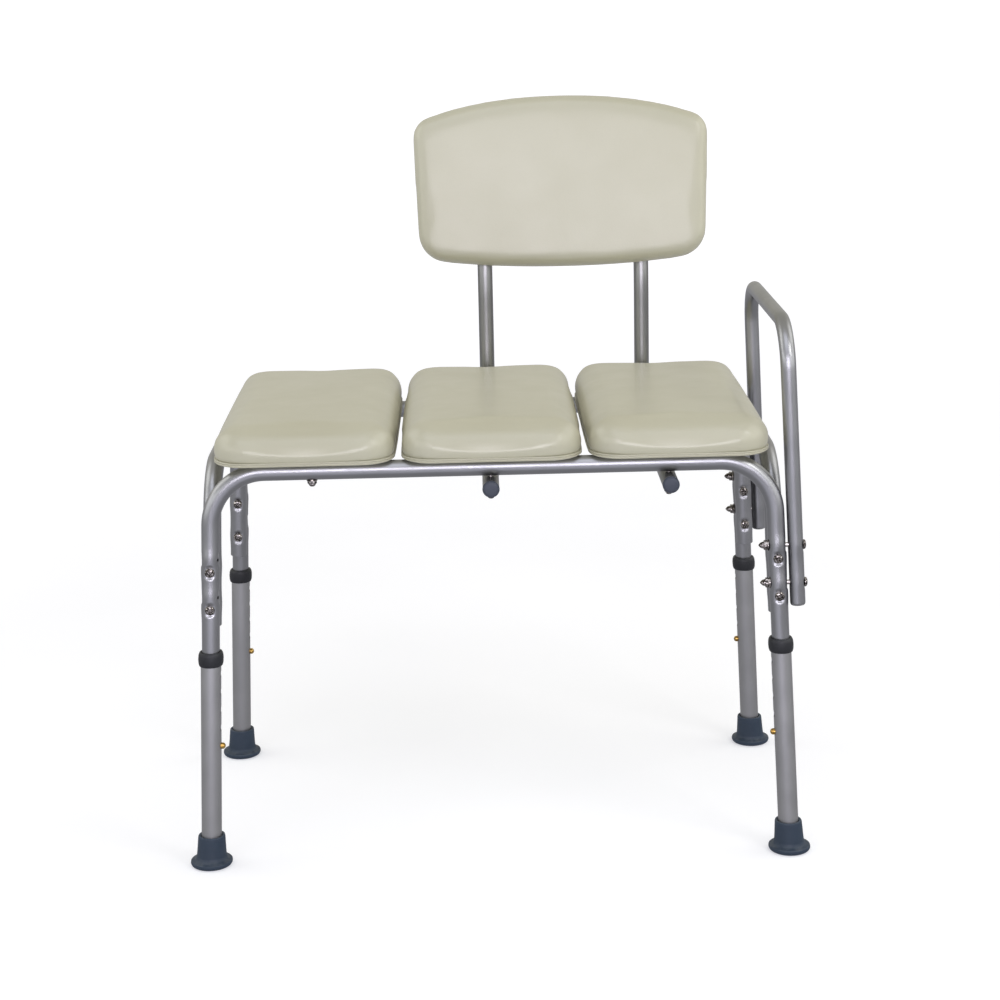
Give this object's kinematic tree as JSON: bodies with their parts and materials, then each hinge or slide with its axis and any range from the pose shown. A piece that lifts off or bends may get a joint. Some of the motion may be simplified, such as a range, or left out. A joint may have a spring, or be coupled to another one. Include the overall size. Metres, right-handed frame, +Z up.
{
  "type": "bath transfer bench",
  "caption": "Tube-frame bath transfer bench with padded seat sections, a padded backrest, an armrest and telescoping legs on rubber feet.",
  "frame": {"origin": "on the floor, midway between the four feet", "axes": "+Z up, -Y towards the front edge of the seat, +X towards the armrest"},
  "size_m": [0.7838, 0.4842, 0.9219],
  "materials": {
    "frame_aluminium": "satin anodised",
    "leg_aluminium": "satin anodised, slightly darker",
    "cream_vinyl": "cream vinyl over foam, soft sheen",
    "cream_base": "cream moulded base",
    "slate_rubber": "matt slate blue rubber",
    "collar_plastic": "matt dark grey plastic",
    "cap_plastic": "matt blue-grey plastic",
    "nickel": "dark nickel plate",
    "brass": "brass"
  },
  "bodies": {
    "bench_frame": {"acorn_nut_front_lower": "nickel", "acorn_nut_front_upper": "nickel", "acorn_nut_rear_lower": "nickel", "acorn_nut_rear_upper": "nickel", "armrest": "frame_aluminium", "armrest_bolt_front_lower": "nickel", "armrest_bolt_front_upper": "nickel", "armrest_bolt_rear_lower": "nickel", "armrest_bolt_rear_upper": "nickel", "armrest_plug_front": "collar_plastic", "armrest_plug_rear": "collar_plastic", "backrest_board": "cream_base", "backrest_cap_left": "cap_plastic", "backrest_cap_right": "cap_plastic", "backrest_cushion": "cream_vinyl", "backrest_frame": "frame_aluminium", "backrest_screw_left_lower": "nickel", "backrest_screw_left_upper": "nickel", "backrest_screw_right_lower": "nickel", "backrest_screw_right_upper": "nickel", "front_rail": "frame_aluminium", "left_side_rail": "frame_aluminium", "leg_bolt_front_left_lower": "nickel", "leg_bolt_front_left_upper": "nickel", "leg_bolt_front_right_lower": "nickel", "leg_bolt_front_right_upper": "nickel", "leg_bolt_rear_left_lower": "nickel", "leg_bolt_rear_left_upper": "nickel", "leg_bolt_rear_right_lower": "nickel", "leg_bolt_rear_right_upper": "nickel", "rear_rail": "frame_aluminium", "right_side_rail": "frame_aluminium", "seat_base_left": "cream_base", "seat_base_middle": "cream_base", "seat_base_right": "cream_base", "seat_cushion_left": "cream_vinyl", "seat_cushion_middle": "cream_vinyl", "seat_cushion_right": "cream_vinyl", "seat_stud_left_front": "nickel", "seat_stud_left_rear": "nickel", "seat_stud_middle_front": "nickel", "seat_stud_middle_rear": "nickel", "seat_stud_right_front": "nickel", "seat_stud_right_rear": "nickel"},
    "leg_extension_front_left": {"leg_tube_front_left": "leg_aluminium", "collar_front_left": "collar_plastic", "foot_front_left": "slate_rubber"},
    "snap_button_front_left": {"snap_button_front_left": "brass"},
    "leg_extension_front_right": {"leg_tube_front_right": "leg_aluminium", "collar_front_right": "collar_plastic", "foot_front_right": "slate_rubber"},
    "snap_button_front_right": {"snap_button_front_right": "brass"},
    "leg_extension_rear_left": {"leg_tube_rear_left": "leg_aluminium", "collar_rear_left": "collar_plastic", "foot_rear_left": "slate_rubber"},
    "snap_button_rear_left": {"snap_button_rear_left": "brass"},
    "leg_extension_rear_right": {"leg_tube_rear_right": "leg_aluminium", "collar_rear_right": "collar_plastic", "foot_rear_right": "slate_rubber"},
    "snap_button_rear_right": {"snap_button_rear_right": "brass"}
  },
  "joints": [
    {"name": "leg_slide_front_left", "type": "slide", "parent": "bench_frame", "child": "leg_extension_front_left", "axis": [-0.0449, -0.0342, -0.9984], "range_m": [0, 0.0932], "deforming": ["snap_button_front_left"]},
    {"name": "button_press_front_left", "type": "slide", "parent": "bench_frame", "child": "snap_button_front_left", "axis": [-0.999, 0, 0.045], "range_m": [0, 0.0045], "stiffness_N_per_m": 400},
    {"name": "leg_slide_front_right", "type": "slide", "parent": "bench_frame", "child": "leg_extension_front_right", "axis": [0.0449, -0.0342, -0.9984], "range_m": [0, 0.0932], "deforming": ["snap_button_front_right"]},
    {"name": "button_press_front_right", "type": "slide", "parent": "bench_frame", "child": "snap_button_front_right", "axis": [0.999, 0, 0.045], "range_m": [0, 0.0045], "stiffness_N_per_m": 400},
    {"name": "leg_slide_rear_left", "type": "slide", "parent": "bench_frame", "child": "leg_extension_rear_left", "axis": [-0.0449, 0.0342, -0.9984], "range_m": [0, 0.0932], "deforming": ["snap_button_rear_left"]},
    {"name": "button_press_rear_left", "type": "slide", "parent": "bench_frame", "child": "snap_button_rear_left", "axis": [-0.999, 0, 0.045], "range_m": [0, 0.0045], "stiffness_N_per_m": 400},
    {"name": "leg_slide_rear_right", "type": "slide", "parent": "bench_frame", "child": "leg_extension_rear_right", "axis": [0.0449, 0.0342, -0.9984], "range_m": [0, 0.0932], "deforming": ["snap_button_rear_right"]},
    {"name": "button_press_rear_right", "type": "slide", "parent": "bench_frame", "child": "snap_button_rear_right", "axis": [0.999, 0, 0.045], "range_m": [0, 0.0045], "stiffness_N_per_m": 400}
  ]
}
